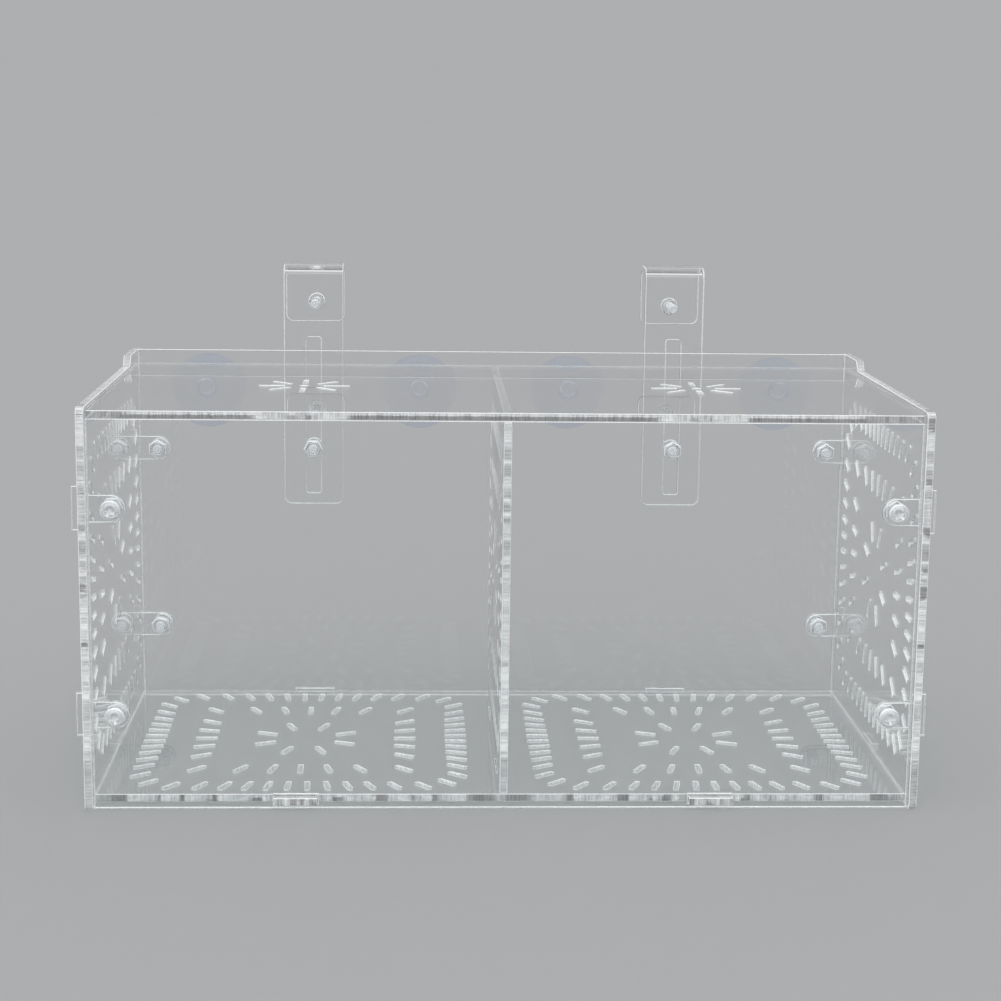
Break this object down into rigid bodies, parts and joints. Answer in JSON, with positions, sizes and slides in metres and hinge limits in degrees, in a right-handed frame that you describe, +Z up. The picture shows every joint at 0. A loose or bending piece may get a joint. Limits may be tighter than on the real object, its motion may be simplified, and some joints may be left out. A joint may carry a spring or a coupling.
{
  "type": "fish breeding box",
  "caption": "Clear hang-on breeding box with two chambers, slotted walls and floor, a lift-out divider and lid, suction cups and two height-adjustable rim hangers.",
  "frame": {"origin": "middle of the base, on the plane of the panels' bottom edges, half way between the side panels' outer faces and half way along their depth", "axes": "+X to the right as seen from the front, along the box; +Y from the front panel to the back panel, where the hangers are; +Z up"},
  "size_m": [0.306, 0.1806, 0.185],
  "materials": {
    "clear_sheet": "clear cast acrylic with polished faces and frosted, finely striped laser-cut edges",
    "clear_fastener": "clear moulded plastic screws and nuts, cloudy at the threads",
    "soft_clear": "soft clear vinyl with a faint blue tint"
  },
  "bodies": {
    "box": {"front_panel": "clear_sheet", "back_panel": "clear_sheet", "left_side_panel": "clear_sheet", "right_side_panel": "clear_sheet", "floor_panel": "clear_sheet", "left_front_upper_clip": "clear_sheet", "left_front_lower_clip": "clear_sheet", "left_back_upper_clip": "clear_sheet", "left_back_lower_clip": "clear_sheet", "right_front_upper_clip": "clear_sheet", "right_front_lower_clip": "clear_sheet", "right_back_upper_clip": "clear_sheet", "right_back_lower_clip": "clear_sheet", "front_clip_screws": "clear_fastener", "front_clip_nuts": "clear_fastener", "back_clip_screws": "clear_fastener", "back_clip_nuts": "clear_fastener", "left_outer_cup": "soft_clear", "left_inner_cup": "soft_clear", "right_inner_cup": "soft_clear", "right_outer_cup": "soft_clear"},
    "divider": {"divider": "clear_sheet"},
    "lid": {"lid": "clear_sheet"},
    "left_bolt": {"left_hanger_bolt": "clear_fastener", "left_hanger_nut": "clear_fastener"},
    "left_hanger": {"left_hanger": "clear_sheet"},
    "left_clamp": {"left_clamp_screw": "clear_fastener"},
    "right_bolt": {"right_hanger_bolt": "clear_fastener", "right_hanger_nut": "clear_fastener"},
    "right_hanger": {"right_hanger": "clear_sheet"},
    "right_clamp": {"right_clamp_screw": "clear_fastener"}
  },
  "joints": [
    {"name": "divider_lift", "type": "slide", "parent": "box", "child": "divider", "axis": [0, 0, 1], "range_m": [0, 0.19]},
    {"name": "lid_lift", "type": "slide", "parent": "divider", "child": "lid", "axis": [0, 0, 1], "range_m": [0, 0.06]},
    {"name": "left_hanger_swivel", "type": "hinge", "parent": "box", "child": "left_bolt", "pos_m": [-0.075, 0.072, 0.10925], "axis": [0, 1, 0], "range_deg": [-15, 15]},
    {"name": "left_hanger_height", "type": "slide", "parent": "left_bolt", "child": "left_hanger", "axis": [0, 0, 1], "range_m": [-0.042, 0.016]},
    {"name": "left_clamp_travel", "type": "slide", "parent": "left_hanger", "child": "left_clamp", "axis": [0, 1, 0], "range_m": [-0.01, 0.003]},
    {"name": "right_hanger_swivel", "type": "hinge", "parent": "box", "child": "right_bolt", "pos_m": [0.075, 0.072, 0.10925], "axis": [0, 1, 0], "range_deg": [-15, 15]},
    {"name": "right_hanger_height", "type": "slide", "parent": "right_bolt", "child": "right_hanger", "axis": [0, 0, 1], "range_m": [-0.042, 0.016]},
    {"name": "right_clamp_travel", "type": "slide", "parent": "right_hanger", "child": "right_clamp", "axis": [0, 1, 0], "range_m": [0, 0.013]}
  ]
}
